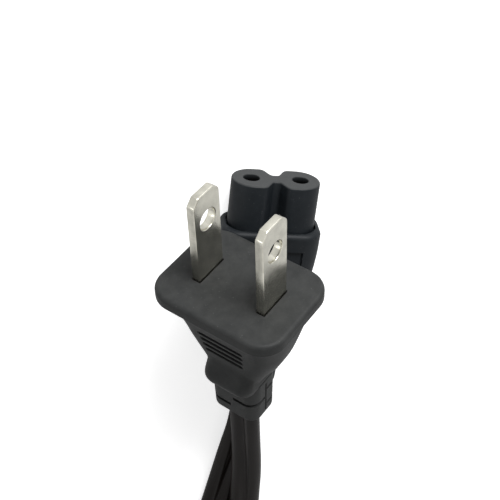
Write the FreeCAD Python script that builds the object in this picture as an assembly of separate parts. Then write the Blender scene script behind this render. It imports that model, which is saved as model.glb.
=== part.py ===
import FreeCAD, Part
import math
import os

# Two-ended mains cord set: a two-blade plug, a figure-eight connector and one flat twin cord.
# Millimetres, +Z up. The connector lies flat on the floor with its face towards -Y, and the
# plug lies on it. Each end is built in its own frame first: X along the spacing of its two
# poles, Y through its thickness, Z out of its face, and the face at Z = 0.

V = FreeCAD.Vector

# Blades
BLADE_PITCH = 12.7
BLADE_WIDTH = 6.35
BLADE_THICK = 1.52
BLADE_LENGTH = 17.4
BLADE_HOLE_D = 3.9
BLADE_HOLE_Z = 11.8
BLADE_CORNER = 1.2
BLADE_BEVEL = 0.35
BLADE_TAIL_WIDTH = 2.6
BLADE_TAIL_END = -10.0
BLADE_SHOULDER_Z = -5.0
BARREL_LENGTH = 3.4
BARREL_GAP = 0.3
BLADE_SLOT_GAP = 0.14
BLADE_SLOT_DEPTH = 0.7

# Plug face plate and grip
PLATE_X = 24.9
PLATE_Y = 19.0
PLATE_THICK = 2.4
PLATE_CORNER_R = 4.5
PLATE_EDGE_R = 0.8
PLATE_UNDER_R = 0.35
BOWL_Z = (-20.6, -18.4, -15.4, -12.2, -9.0, -5.4)
BOWL_HALF_X = (4.9, 6.1, 7.9, 9.3, 10.2, 10.9, 11.4)
BOWL_HALF_Y = (3.8, 4.3, 4.8, 5.45, 6.1, 7.2, 8.6)
BOWL_CORNER_R = (2.6, 3.4, 4.2, 4.7, 4.9, 4.9, 4.9)
REST_TOP_Z = -14.2
REST_MIDDLE_Z = -18.0
REST_HALF_X = (4.6, 4.9)
REST_HALF_Y = (4.1, 5.05)
BRIDGE_X = 18.2
BRIDGE_Y = 9.4
BRIDGE_TOP = -2.6
BRIDGE_THICK = 4.2
BRIDGE_CORNER_R = 1.6
GROOVE_COUNT = 4
GROOVE_TOP_Z = -9.0
GROOVE_PITCH = 1.65
GROOVE_WIDTH = 0.95
GROOVE_DEPTH = 0.85
GROOVE_HALF_LENGTH = 4.5
GROOVE_SHRINK = 0.22
GROOVE_SURFACE_Y = 6.1
GROOVE_SURFACE_DROP = 0.32
LIP_Z = -21.2
LIP_THICK = 1.1
LIP_HALF_X = 5.0
LIP_HALF_Y = 6.1

# Plug strain relief
PLUG_RELIEF_TOP_X = 10.2
PLUG_RELIEF_TOP_Y = 7.8
PLUG_RELIEF_END_X = 9.7
PLUG_RELIEF_END_Y = 7.2
PLUG_RELIEF_TOP_Z = -20.0
PLUG_END_Z = -31.8
PLUG_SLOT_Z = -24.4
PLUG_SLOT_COUNT = 3
PLUG_SLOT_PITCH = 2.25
RELIEF_SLOT = 0.7
RELIEF_SLOT_DEPTH = 1.15
RELIEF_SLOT_START = 0.35
RELIEF_TOP_CORNER_R = 2.4
RELIEF_END_CORNER_R = 2.1
RELIEF_END_EDGE_R = 0.4
SEAM_WIDTH = 0.32
SEAM_DEPTH = 0.3
SEAM_MARGIN = 0.6

# Connector nose and grip
PIN_PITCH = 8.6
NOSE_LOBE_R = 3.95
NOSE_HALF_X = 7.8
NOSE_HALF_Y = 3.95
NOTCH_HALF_TOP = 1.9
NOTCH_HALF_FLOOR = 0.62
NOTCH_FLOOR_Y = 1.5
NOTCH_TOP_R = 1.2
NOTCH_FLOOR_R = 0.6
NOSE_EDGE_R = 0.3
INSERT_LENGTH = 17.0
PIN_HOLE_D = 2.9
PIN_RIM = 0.15
PIN_MOUTH_DEPTH = 2.6
SHOULDER_Z = -8.5
GRIP_HALF_X = 8.9
GRIP_HALF_Y = 4.95
GRIP_CORNER_R = 3.4
GRIP_Z = (-28.0, -25.0, -21.5, -17.0, -13.0)
GRIP_X = (5.2, 6.3, 7.5, 8.4, 8.8)
GRIP_Y = (4.1, 4.45, 4.75, 4.9, 4.95)
GRIP_R = (2.5, 2.9, 3.2, 3.4, 3.4)
GRIP_EDGE_R = 0.9
NOSE_GAP = 0.35
NOSE_GAP_DEPTH = 0.9
PANEL_HALF_X = 5.6
PANEL_TOP_Z = -11.8
PANEL_LENGTH = 12.6
PANEL_DEPTH = 0.45
PANEL_GROOVE_Z = -16.6
CONN_RELIEF_TOP_X = 9.9
CONN_RELIEF_TOP_Y = 8.0
CONN_RELIEF_END_X = 8.6
CONN_RELIEF_END_Y = 7.0
CONN_RELIEF_TOP_Z = -26.0
CONN_END_Z = -41.0
CONN_SLOT_Z = -30.0
CONN_SLOT_COUNT = 5
CONN_SLOT_PITCH = 2.1

# Contacts
SLEEVE_R = 1.75
SLEEVE_BORE_R = 1.22
SLEEVE_LENGTH = 8.4
SLEEVE_SLIT = 0.4
CRIMP_WALL = 0.4
WIRE_CRIMP_R = 1.3
NECK_HALF = 0.7
STRAND_R = 0.75
LEAD_R = 1.4
CRIMP_LENGTH = 3.6
HOLD_LENGTH = 2.2
CRIMP_GAP = 1.6
ROOM_CLEARANCE = 0.3

# Flat twin cord
CORD_W = 6.2
CORD_T = 3.1
LOBE_OFFSET = (CORD_W - CORD_T) / 2

# Where the two ends lie
PLUG_ROLL = 41.4
PLUG_PITCH = -17.0
PLUG_YAW = 9.0
CONNECTOR_AT = V(-5.735, -18.32, GRIP_HALF_Y + 0.022)
PLUG_AT = V(1.11, -6.87, 22.3735)

# Route of the cord, from the plug to the hank and from the connector to the hank
EXIT_RUN = 10.5
PLUG_RUN = [(-6.9, 44.2, 7.2), (-7.6, 55.3, 5.2), (-8.8, 66.5, 3.2), (-13.2, 77.1, 1.55),
            (-20.4, 86.1, 1.55), (-25.7, 96.3, 1.55), (-27.75, 107.6, 1.55),
            (-27.75, 114.0, 1.55)]
CONN_RUN = [(-4.3, 43.4, 3.2), (-3.1, 53.8, 1.55), (-1.4, 64.2, 1.55), (3.2, 74.7, 1.55),
            (10.6, 83.5, 1.55), (18.4, 91.9, 1.55), (23.5, 102.2, 1.55), (25.4, 113.5, 1.55),
            (25.4, 119.7, 1.55)]

# Hank of the length that isn't laid out
HANK_AT = (-2.75, 153.25)
HANK_STRAIGHT = 32.5
HANK_OUTER_R = 29.75
HANK_INNER_R = 17.05
HANK_HEIGHT = 3 * CORD_W + 0.5
TIE_WIDTH = 9.0
TIE_THICK = 0.5
TIE_LAP = 8.0


# Plane shapes
def rounded_rect(half_x, half_y, radius, z):
    """Closed wire of a rectangle with rounded corners at height z."""
    edges = []
    corners = ((1, 1, 0), (-1, 1, 90), (-1, -1, 180), (1, -1, 270))
    last = None
    first = None
    for sx, sy, start in corners:
        centre = V(sx * (half_x - radius), sy * (half_y - radius), z)
        a = math.radians(start)
        b = math.radians(start + 90)
        m = math.radians(start + 45)
        p0 = centre + V(math.cos(a), math.sin(a), 0) * radius
        p1 = centre + V(math.cos(m), math.sin(m), 0) * radius
        p2 = centre + V(math.cos(b), math.sin(b), 0) * radius
        if last is None:
            first = p0
        else:
            edges.append(Part.LineSegment(last, p0).toShape())
        edges.append(Part.Arc(p0, p1, p2).toShape())
        last = p2
    edges.append(Part.LineSegment(last, first).toShape())
    return Part.Wire(edges)


def slab(half_x, half_y, radius, z0, z1):
    """Rounded rectangle extruded from z0 up to z1."""
    return Part.Face(rounded_rect(half_x, half_y, radius, z0)).extrude(V(0, 0, z1 - z0))


def lofted(sections):
    """Solid through rounded rectangles given as (z, half x, half y, corner radius)."""
    wires = [rounded_rect(hx, hy, r, z) for z, hx, hy, r in sections]
    return Part.makeLoft(wires, True, False)


def box(x0, x1, y0, y1, z0, z1):
    return Part.makeBox(x1 - x0, y1 - y0, z1 - z0, V(x0, y0, z0))


def fillet_level(shape, z, radius):
    """Rounds the edges that lie wholly at height z."""
    level = [e for e in shape.Edges
             if abs(e.BoundBox.ZMin - z) < 1e-4 and abs(e.BoundBox.ZMax - z) < 1e-4]
    return shape.makeFillet(radius, level)


def rounded_polygon(corners, radii, z):
    """Closed wire of straight sides, with the arc at each corner that touches both sides."""
    arcs = []
    count = len(corners)
    for i in range(count):
        here = V(*corners[i], z)
        u = (V(*corners[i - 1], z) - here).normalize()
        w = (V(*corners[(i + 1) % count], z) - here).normalize()
        half = u.getAngle(w) / 2
        reach = radii[i] / math.tan(half)
        middle = (u + w).normalize()
        top = here + middle * (radii[i] / math.sin(half) - radii[i])
        arcs.append((here + u * reach, top, here + w * reach))
    edges = []
    for arc, following in zip(arcs, arcs[1:] + arcs[:1]):
        edges.append(Part.Arc(*arc).toShape())
        if (following[0] - arc[2]).Length > 1e-6:
            edges.append(Part.LineSegment(arc[2], following[0]).toShape())
    return Part.Wire(edges)


def figure_eight(z, grow=0.0):
    """Wire of the connector nose: two lobes with flats, and a notch in the middle of each side."""
    h = NOSE_HALF_Y + grow
    w = NOSE_HALF_X + grow
    f = NOTCH_HALF_FLOOR - grow / 2
    t = NOTCH_HALF_TOP - grow / 2
    n = NOTCH_FLOOR_Y + grow
    upper = [(w, h), (t, h), (f, n), (-f, n), (-t, h), (-w, h)]
    rounding = [NOSE_LOBE_R + grow, NOTCH_TOP_R + grow, NOTCH_FLOOR_R - grow]
    radii = rounding + rounding[::-1]
    return rounded_polygon(upper + [(-x, -y) for x, y in upper], radii + radii, z)


# Strain reliefs, shared by both ends
def relief_slots(half_x, half_y, end_x, end_y, tops, z_top, z_end):
    """Slots round opposite corners by turns, each cut from the two side faces that meet there."""
    cuts = []
    for i, z in enumerate(tops):
        share = (z_top - z) / (z_top - z_end)
        hx = half_x + (end_x - half_x) * share
        hy = half_y + (end_y - half_y) * share
        flip = -1 if i % 2 == 0 else 1
        for side in (1, -1):
            sx = side
            sy = -side * flip
            outer_x = sx * (hx + 2)
            outer_y = sy * (hy + 2)
            inner_x = sx * (hx - RELIEF_SLOT_DEPTH)
            inner_y = sy * (hy - RELIEF_SLOT_DEPTH)
            near_x = sx * RELIEF_SLOT_START
            near_y = sy * RELIEF_SLOT_START
            a = box(min(near_x, outer_x), max(near_x, outer_x), min(inner_y, outer_y),
                    max(inner_y, outer_y), z - RELIEF_SLOT, z)
            b = box(min(inner_x, outer_x), max(inner_x, outer_x), min(near_y, outer_y),
                    max(near_y, outer_y), z - RELIEF_SLOT, z)
            cuts += [a, b]
    return cuts


def relief_body(top_x, top_y, end_x, end_y, z_top, z_end):
    """Tapered block of the strain relief with rounded corners and end."""
    body = lofted([(z_end, end_x / 2, end_y / 2, RELIEF_END_CORNER_R),
                   (z_top, top_x / 2, top_y / 2, RELIEF_TOP_CORNER_R)])
    return fillet_level(body, z_end, RELIEF_END_EDGE_R)


# Plug: blades, bridge, overmould
def blade(side):
    """Stamped blade: body with a hole and bevelled tip, then a narrow tail and a crimp barrel."""
    x = side * BLADE_PITCH / 2
    w = BLADE_WIDTH / 2
    c = BLADE_CORNER
    top = BLADE_LENGTH
    s = BLADE_SHOULDER_Z
    outline = [V(0, -w, s), V(0, w, s), V(0, w, top - c), V(0, w - c, top), V(0, -w + c, top),
               V(0, -w, top - c), V(0, -w, s)]
    body = Part.Face(Part.makePolygon(outline)).extrude(V(BLADE_THICK, 0, 0))
    body.translate(V(x - BLADE_THICK / 2, 0, 0))
    tip = [e for e in body.Edges if e.BoundBox.ZMin > top - c - 1e-4 and e.BoundBox.XLength < 1e-4]
    body = body.makeChamfer(BLADE_BEVEL, tip)
    hole = Part.makeCylinder(BLADE_HOLE_D / 2, 3 * BLADE_THICK,
                             V(x - 1.5 * BLADE_THICK, 0, BLADE_HOLE_Z), V(1, 0, 0))
    t = BLADE_TAIL_WIDTH / 2
    tail = box(x - BLADE_THICK / 2, x + BLADE_THICK / 2, -t, t, BLADE_TAIL_END, s)
    barrel = Part.makeCylinder(STRAND_R + CRIMP_WALL, BARREL_LENGTH,
                               V(x, 0, BLADE_TAIL_END + BARREL_GAP), V(0, 0, -1))
    bore = Part.makeCylinder(STRAND_R, BARREL_LENGTH, V(x, 0, BLADE_TAIL_END), V(0, 0, -1))
    return body.cut(hole).fuse([tail, barrel]).cut(bore).removeSplitter()


def plug_strand(side):
    """Bared conductor from the crimp barrel into the lead."""
    return Part.makeCylinder(STRAND_R, BARREL_LENGTH + LEAD_R + 0.8,
                             V(side * BLADE_PITCH / 2, 0, BLADE_TAIL_END), V(0, 0, -1))


def lead_path(points):
    """Wire of straight runs joined by tangent arcs, for points in one plane or in space."""
    pts = [V(*p) for p in points]
    edges = []
    start = pts[0]
    for i in range(1, len(pts) - 1):
        back = pts[i - 1] - pts[i]
        ahead = pts[i + 1] - pts[i]
        run = min(back.Length, ahead.Length)
        u = V(back).normalize()
        w = V(ahead).normalize()
        reach = 0.45 * run
        p = pts[i] + u * reach
        q = pts[i] + w * reach
        half = (math.pi - u.getAngle(w)) / 2
        bis = (u + w).normalize()
        radius = reach / math.tan(half)
        centre = pts[i] + bis * (radius / math.cos(half))
        mid = centre - bis * radius
        edges.append(Part.LineSegment(start, p).toShape())
        edges.append(Part.Arc(p, mid, q).toShape())
        start = q
    edges.append(Part.LineSegment(start, pts[-1]).toShape())
    return Part.Wire(edges)


def round_tube(points, radius):
    path = lead_path(points)
    start = V(*points[0])
    ahead = V(*points[1]) - start
    ring = Part.Wire(Part.makeCircle(radius, start, ahead))
    return path.makePipeShell([ring], True, False)


def plug_lead(side):
    """Insulated conductor from the blade's crimp to the end of the strain relief."""
    x = side * BLADE_PITCH / 2
    e = side * LOBE_OFFSET
    start = BLADE_TAIL_END - BARREL_LENGTH - 0.2
    path = [(x, 0, start), (x, 0, start - 2.6), (e, 0, start - 8.0), (e, 0, PLUG_END_Z)]
    return round_tube(path, LEAD_R).cut(plug_strand(side))


def plug_bridge():
    """Rigid carrier moulded round both blades."""
    body = slab(BRIDGE_X / 2, BRIDGE_Y / 2, BRIDGE_CORNER_R, BRIDGE_TOP - BRIDGE_THICK, BRIDGE_TOP)
    rib = box(-1.2, 1.2, -BRIDGE_Y / 2 + 1, BRIDGE_Y / 2 - 1, BRIDGE_TOP, BRIDGE_TOP + 0.9)
    return body.fuse(rib).removeSplitter()


def plug_shell():
    """Outer form of the plug: plate, bowl-shaped grip, thumb rests and strain relief."""
    plate = slab(PLATE_X / 2, PLATE_Y / 2, PLATE_CORNER_R, -PLATE_THICK, 0)
    plate = fillet_level(plate, 0, PLATE_EDGE_R)
    plate = fillet_level(plate, -PLATE_THICK, PLATE_UNDER_R)
    depths = BOWL_Z + (-PLATE_THICK + 0.3,)
    bowl = lofted(list(zip(depths, BOWL_HALF_X, BOWL_HALF_Y, BOWL_CORNER_R)))
    rest = lofted([(LIP_Z, LIP_HALF_X, LIP_HALF_Y, 2.4),
                   (REST_MIDDLE_Z, REST_HALF_X[1], REST_HALF_Y[1], 2.2),
                   (REST_TOP_Z, REST_HALF_X[0], REST_HALF_Y[0], 1.8)])
    lip = lofted([(LIP_Z - LIP_THICK, LIP_HALF_X - 0.1, LIP_HALF_Y - 0.5, 2.3),
                  (LIP_Z, LIP_HALF_X, LIP_HALF_Y, 2.4)])
    relief = relief_body(PLUG_RELIEF_TOP_X, PLUG_RELIEF_TOP_Y, PLUG_RELIEF_END_X,
                         PLUG_RELIEF_END_Y, PLUG_RELIEF_TOP_Z, PLUG_END_Z)
    return plate.fuse([bowl, rest, lip, relief]).removeSplitter()


def groove_bar(z, half_length, surface_y, side):
    """One finger groove with rounded ends, cut into a broad side of the grip."""
    r = GROOVE_WIDTH / 2
    y0 = side * (surface_y - GROOVE_DEPTH)
    y1 = side * (surface_y + 3)
    mid = box(-half_length + r, half_length - r, min(y0, y1), max(y0, y1), z - r, z + r)
    ends = [Part.makeCylinder(r, 3 + GROOVE_DEPTH, V(sx * (half_length - r), y0, z),
                              V(0, side, 0)) for sx in (1, -1)]
    return mid.fuse(ends)


def plug_grooves():
    """Finger grooves on both broad sides, shorter and further in towards the cord."""
    cuts = []
    for i in range(GROOVE_COUNT):
        z = GROOVE_TOP_Z - i * GROOVE_PITCH
        surface = GROOVE_SURFACE_Y - GROOVE_SURFACE_DROP * i
        half = GROOVE_HALF_LENGTH - GROOVE_SHRINK * i
        cuts += [groove_bar(z, half, surface, 1), groove_bar(z, half, surface, -1)]
    return cuts


def blade_slots():
    """Thin gap round each blade where it leaves the face."""
    g = BLADE_SLOT_GAP
    cuts = []
    for side in (1, -1):
        x = side * BLADE_PITCH / 2
        cuts.append(box(x - BLADE_THICK / 2 - g, x + BLADE_THICK / 2 + g, -BLADE_WIDTH / 2 - g,
                        BLADE_WIDTH / 2 + g, -BLADE_SLOT_DEPTH, 1))
    return cuts


def plug_overmould(inner):
    hx = PLUG_RELIEF_TOP_X / 2
    hy = PLUG_RELIEF_TOP_Y / 2
    tops = [PLUG_SLOT_Z - i * PLUG_SLOT_PITCH for i in range(PLUG_SLOT_COUNT)]
    slots = relief_slots(hx, hy, PLUG_RELIEF_END_X / 2, PLUG_RELIEF_END_Y / 2, tops,
                         PLUG_RELIEF_TOP_Z, PLUG_END_Z)
    z0 = PLUG_END_Z + SEAM_MARGIN
    z1 = LIP_Z - LIP_THICK - SEAM_MARGIN
    w = SEAM_WIDTH / 2
    seams = [box(sx * hx - SEAM_DEPTH, sx * hx + SEAM_DEPTH, -w, w, z0, z1) for sx in (1, -1)]
    return plug_shell().cut(plug_grooves() + blade_slots() + slots + seams + inner)


# Connector: insert, contacts, overmould
def contact(side):
    """Rolled sleeve with a slit, a neck strip, a wire crimp and an insulation crimp."""
    x = side * PIN_PITCH / 2
    z0 = -PIN_MOUTH_DEPTH
    z1 = z0 - SLEEVE_LENGTH
    sleeve = Part.makeCylinder(SLEEVE_R, SLEEVE_LENGTH, V(x, 0, z1))
    sleeve = sleeve.cut(Part.makeCylinder(SLEEVE_BORE_R, SLEEVE_LENGTH, V(x, 0, z1)))
    slit = box(x - SLEEVE_SLIT / 2, x + SLEEVE_SLIT / 2, 0.5, 3, z1 - 1, z0 + 1)
    z2 = z1 - CRIMP_GAP - CRIMP_LENGTH
    z3 = z2 - HOLD_LENGTH - 1
    low = -LEAD_R - CRIMP_WALL
    neck = box(x - NECK_HALF, x + NECK_HALF, -1.6, -SLEEVE_BORE_R - 0.01, z2 - 0.2, z1 + 0.8)
    wire = Part.makeCylinder(WIRE_CRIMP_R, CRIMP_LENGTH, V(x, 0, z2))
    wire = wire.cut(Part.makeCylinder(STRAND_R, CRIMP_LENGTH, V(x, 0, z2)))
    jog = box(x - NECK_HALF, x + NECK_HALF, low, -1.15, z2 - 0.7, z2)
    strip = box(x - NECK_HALF, x + NECK_HALF, low, -1.15, z3, z2 - 0.1)
    hold = Part.makeCylinder(LEAD_R + CRIMP_WALL, HOLD_LENGTH, V(x, 0, z3))
    hold = hold.cut(Part.makeCylinder(LEAD_R, HOLD_LENGTH, V(x, 0, z3)))
    body = sleeve.cut(slit).fuse([neck, wire, jog, strip, hold])
    lead_space = Part.makeCylinder(LEAD_R, HOLD_LENGTH + 1, V(x, 0, z3 - 0.6))
    strand_space = Part.makeCylinder(STRAND_R, CRIMP_LENGTH + 0.2, V(x, 0, z2 - 0.2))
    return body.cut([lead_space, strand_space]).removeSplitter()


def conn_strand(side):
    """Bared conductor through the wire crimp and into the lead."""
    z1 = -PIN_MOUTH_DEPTH - SLEEVE_LENGTH
    start = z1 - CRIMP_GAP + 0.2
    return Part.makeCylinder(STRAND_R, CRIMP_LENGTH + 2.8, V(side * PIN_PITCH / 2, 0, start),
                             V(0, 0, -1))


def conn_lead(side):
    """Insulated conductor from the insulation crimp to the end of the strain relief."""
    x = side * PIN_PITCH / 2
    z1 = -PIN_MOUTH_DEPTH - SLEEVE_LENGTH
    e = side * LOBE_OFFSET
    start = z1 - CRIMP_GAP - CRIMP_LENGTH - 0.6
    path = [(x, 0, start), (x, 0, start - 5.4), (e, 0, start - 11.8), (e, 0, CONN_END_Z)]
    return round_tube(path, LEAD_R).cut(conn_strand(side))


def insert():
    """Figure-eight nose with two pin holes that widen into the contact seats."""
    body = Part.Face(figure_eight(-INSERT_LENGTH)).extrude(V(0, 0, INSERT_LENGTH))
    body = fillet_level(body, 0, NOSE_EDGE_R)
    crimps = -PIN_MOUTH_DEPTH - SLEEVE_LENGTH - CRIMP_GAP - CRIMP_LENGTH
    reach = LEAD_R + CRIMP_WALL + 0.1
    for side in (1, -1):
        x = side * PIN_PITCH / 2
        mouth = Part.makeCylinder(PIN_HOLE_D / 2, PIN_MOUTH_DEPTH + 1, V(x, 0, -PIN_MOUTH_DEPTH))
        rim = Part.makeCone(PIN_HOLE_D / 2, PIN_HOLE_D / 2 + PIN_RIM, PIN_RIM, V(x, 0, -PIN_RIM))
        seat = Part.makeCylinder(SLEEVE_R, INSERT_LENGTH, V(x, 0, -PIN_MOUTH_DEPTH), V(0, 0, -1))
        room = box(x - NECK_HALF - 0.2, x + NECK_HALF + 0.2, -reach, 0,
                   crimps - HOLD_LENGTH - 2, crimps + ROOM_CLEARANCE)
        body = body.cut([mouth, rim, seat, room])
    return body


def conn_shell():
    """Outer form of the connector's grip and strain relief."""
    sections = list(zip(GRIP_Z, GRIP_X, GRIP_Y, GRIP_R))
    grip = lofted(sections + [(SHOULDER_Z, GRIP_HALF_X, GRIP_HALF_Y, GRIP_CORNER_R)])
    grip = fillet_level(grip, SHOULDER_Z, GRIP_EDGE_R)
    relief = relief_body(CONN_RELIEF_TOP_X, CONN_RELIEF_TOP_Y, CONN_RELIEF_END_X,
                         CONN_RELIEF_END_Y, CONN_RELIEF_TOP_Z, CONN_END_Z)
    return grip.fuse(relief).removeSplitter()


def conn_panels():
    """Shallow thumb panel on each broad side, with grooves at its cord end."""
    cuts = []
    for side in (1, -1):
        y0 = side * (GRIP_HALF_Y - PANEL_DEPTH)
        y1 = side * (GRIP_HALF_Y + 3)
        z0 = PANEL_TOP_Z - PANEL_LENGTH
        cuts.append(box(-PANEL_HALF_X, PANEL_HALF_X, min(y0, y1), max(y0, y1), z0, PANEL_TOP_Z))
        for i in range(GROOVE_COUNT):
            z = PANEL_GROOVE_Z - i * GROOVE_PITCH
            cuts.append(groove_bar(z, GROOVE_HALF_LENGTH, GRIP_HALF_Y - PANEL_DEPTH, side))
    return cuts


def conn_overmould(inner):
    """Grip cut by the nose and a thin gap round it, the panels, the slots and the inner pieces."""
    nose = Part.Face(figure_eight(-INSERT_LENGTH)).extrude(V(0, 0, INSERT_LENGTH))
    ring = Part.Face(figure_eight(SHOULDER_Z - NOSE_GAP_DEPTH, NOSE_GAP))
    ring = ring.extrude(V(0, 0, NOSE_GAP_DEPTH + 1))
    tops = [CONN_SLOT_Z - i * CONN_SLOT_PITCH for i in range(CONN_SLOT_COUNT)]
    slots = relief_slots(CONN_RELIEF_TOP_X / 2, CONN_RELIEF_TOP_Y / 2, CONN_RELIEF_END_X / 2,
                         CONN_RELIEF_END_Y / 2, tops, CONN_RELIEF_TOP_Z, CONN_END_Z)
    return conn_shell().cut([nose, ring] + conn_panels() + slots + inner)


# Cord
def stadium(at, along):
    """Face of the flat cord's section, its width level, square to the direction along."""
    t = V(along).normalize()
    n = V(0, 0, 1).cross(t).normalize()
    b = t.cross(n)
    c = V(at)
    r = CORD_T / 2
    o = LOBE_OFFSET
    p = [c + n * o + b * r, c - n * o + b * r, c - n * o - b * r, c + n * o - b * r]
    return Part.Face(Part.Wire([Part.LineSegment(p[0], p[1]).toShape(),
                                Part.Arc(p[1], c - n * (o + r), p[2]).toShape(),
                                Part.LineSegment(p[2], p[3]).toShape(),
                                Part.Arc(p[3], c + n * (o + r), p[0]).toShape()]))


def cord_tube(points):
    """Flat cord swept from its end on the floor, where it lies level, back to its exit."""
    pts = [V(*p) for p in reversed(points)]
    section = stadium(pts[0], pts[1] - pts[0])
    start = pts[0]
    solids = []
    for i in range(1, len(pts) - 1):
        back = pts[i - 1] - pts[i]
        ahead = pts[i + 1] - pts[i]
        u = V(back).normalize()
        w = V(ahead).normalize()
        reach = 0.45 * min(back.Length, ahead.Length)
        p = pts[i] + u * reach
        half = (math.pi - u.getAngle(w)) / 2
        bis = (u + w).normalize()
        centre = pts[i] + bis * (reach / math.sin(half))
        axis = u.cross(w)
        axis = V(axis).normalize() * -1
        solids.append(section.extrude(p - start))
        section = section.copy()
        section.translate(p - start)
        turn = math.degrees(2 * half)
        solids.append(section.revolve(centre, axis, turn))
        section = section.copy()
        section.rotate(centre, axis, turn)
        start = pts[i] + w * reach
    solids.append(section.extrude(pts[-1] - start))
    return solids[0].fuse(solids[1:]).removeSplitter()


def oval(radius, z0, z1):
    """Block with two straight sides and two half-round ends, the outline of a hank's turn."""
    cx, cy = HANK_AT
    half = HANK_STRAIGHT / 2
    ends = [Part.makeCylinder(radius, z1 - z0, V(cx, y, z0)) for y in (cy - half, cy + half)]
    return box(cx - radius, cx + radius, cy - half, cy + half, z0, z1).fuse(ends)


def hank():
    """Outer form of the folded cord, with the short lengths where it starts and ends."""
    body = oval(HANK_OUTER_R, 0, HANK_HEIGHT).cut(oval(HANK_INNER_R, 0, HANK_HEIGHT))
    w = CORD_W / 2
    near = HANK_AT[1] - HANK_STRAIGHT / 2
    leads = [box(x - w, x + w, y, near, 0, CORD_W) for x, y, _ in (PLUG_RUN[-1], CONN_RUN[-1])]
    return body.fuse(leads).removeSplitter().cut(hank_tie())


def hank_tie():
    """Flat band closed round the middle of the hank, with its free end lapped over on top."""
    cx, cy = HANK_AT
    r = HANK_OUTER_R
    w = TIE_WIDTH / 2
    t = TIE_THICK
    top = HANK_HEIGHT + t
    band = box(cx - r - t, cx + r + t, cy - w, cy + w, 0, top)
    band = band.cut(box(cx - r, cx + r, cy - w, cy + w, t, HANK_HEIGHT))
    lap = box(cx - r + t, cx + TIE_LAP, cy - w, cy + w, top, top + t)
    return band.fuse(lap).removeSplitter()


# Placing the two ends
def base_turn():
    """Face towards -Y, broad side down."""
    return FreeCAD.Rotation(V(0, 1, -1), 180)


def place(shape, at, turn):
    out = shape.copy()
    out.Placement = FreeCAD.Placement(at, turn)
    return out


def plug_turn():
    roll = FreeCAD.Rotation(V(0, 1, 0), PLUG_ROLL)
    pitch = FreeCAD.Rotation(V(1, 0, 0), PLUG_PITCH)
    yaw = FreeCAD.Rotation(V(0, 0, 1), PLUG_YAW)
    return yaw.multiply(pitch).multiply(roll).multiply(base_turn())


def print_radii(name, points):
    pts = [V(*p) for p in points]
    for i in range(1, len(pts) - 1):
        u = (pts[i - 1] - pts[i])
        w = (pts[i + 1] - pts[i])
        half = (math.pi - u.getAngle(w)) / 2
        radius = 0.45 * min(u.Length, w.Length) / math.tan(half)
        print(name, i, "turn", round(math.degrees(2 * half), 1), "radius", round(radius, 1),
              "runs", round(u.Length, 1), round(w.Length, 1))


def build():
    parts = {}
    blades = {s: blade(s) for s in (1, -1)}
    p_strands = {s: plug_strand(s) for s in (1, -1)}
    p_leads = {s: plug_lead(s) for s in (1, -1)}
    bridge = plug_bridge().cut([blades[1], blades[-1]])
    inner = [bridge] + [d[s] for d in (blades, p_strands, p_leads) for s in (1, -1)]
    plug = {"plug_overmould": plug_overmould(inner), "plug_bridge": bridge,
            "blade_left": blades[-1], "blade_right": blades[1],
            "plug_strands_left": p_strands[-1], "plug_strands_right": p_strands[1],
            "plug_lead_left": p_leads[-1], "plug_lead_right": p_leads[1]}
    turn = plug_turn()
    for name, shape in plug.items():
        parts[name] = place(shape, PLUG_AT, turn)

    contacts = {s: contact(s) for s in (1, -1)}
    c_strands = {s: conn_strand(s) for s in (1, -1)}
    c_leads = {s: conn_lead(s) for s in (1, -1)}
    nose = insert()
    inner = [d[s] for d in (contacts, c_strands, c_leads) for s in (1, -1)]
    conn = {"connector_overmould": conn_overmould(inner), "connector_insert": nose,
            "contact_left": contacts[-1], "contact_right": contacts[1],
            "connector_strands_left": c_strands[-1], "connector_strands_right": c_strands[1],
            "connector_lead_left": c_leads[-1], "connector_lead_right": c_leads[1]}
    for name, shape in conn.items():
        parts[name] = place(shape, CONNECTOR_AT, base_turn())

    plug_exit = PLUG_AT + turn.multVec(V(0, 0, PLUG_END_Z))
    conn_exit = CONNECTOR_AT + base_turn().multVec(V(0, 0, CONN_END_Z))
    heading = turn.multVec(V(0, 0, -1))
    plug_run = [tuple(plug_exit), tuple(plug_exit + heading * EXIT_RUN)] + PLUG_RUN
    conn_run = [tuple(conn_exit), tuple(conn_exit + V(0, EXIT_RUN, 0))] + CONN_RUN
    print("plug exit", plug_exit, "connector exit", conn_exit)
    print_radii("plug run", plug_run)
    print_radii("connector run", conn_run)
    parts["cord_plug_run"] = cord_tube(plug_run)
    parts["cord_connector_run"] = cord_tube(conn_run)
    section = CORD_T * (CORD_W - CORD_T) + math.pi * CORD_T ** 2 / 4
    for name, run in (("cord_plug_run", plug_run), ("cord_connector_run", conn_run)):
        length = lead_path(run).Length
        print(name, "length", round(length, 2), "volume", round(parts[name].Volume, 1),
              "section x length", round(section * length, 1))
    parts["cord_hank"] = hank()
    parts["hank_tie"] = hank_tie()
    return parts


def main():
    os.makedirs("parts", exist_ok=True)
    parts = build()
    ends = Part.makeCompound([s for n, s in parts.items() if not n.startswith(("cord", "hank"))])
    print("two ends", ends.BoundBox)
    for name, shape in parts.items():
        print(name, shape.ShapeType, len(shape.Solids), shape.isValid(), round(shape.Volume, 2))
        shape.exportStep("parts/" + name + ".step")


main()
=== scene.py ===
import math

import bpy
import numpy as np
from mathutils import Matrix, Vector
from mathutils.geometry import delaunay_2d_cdt


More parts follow.
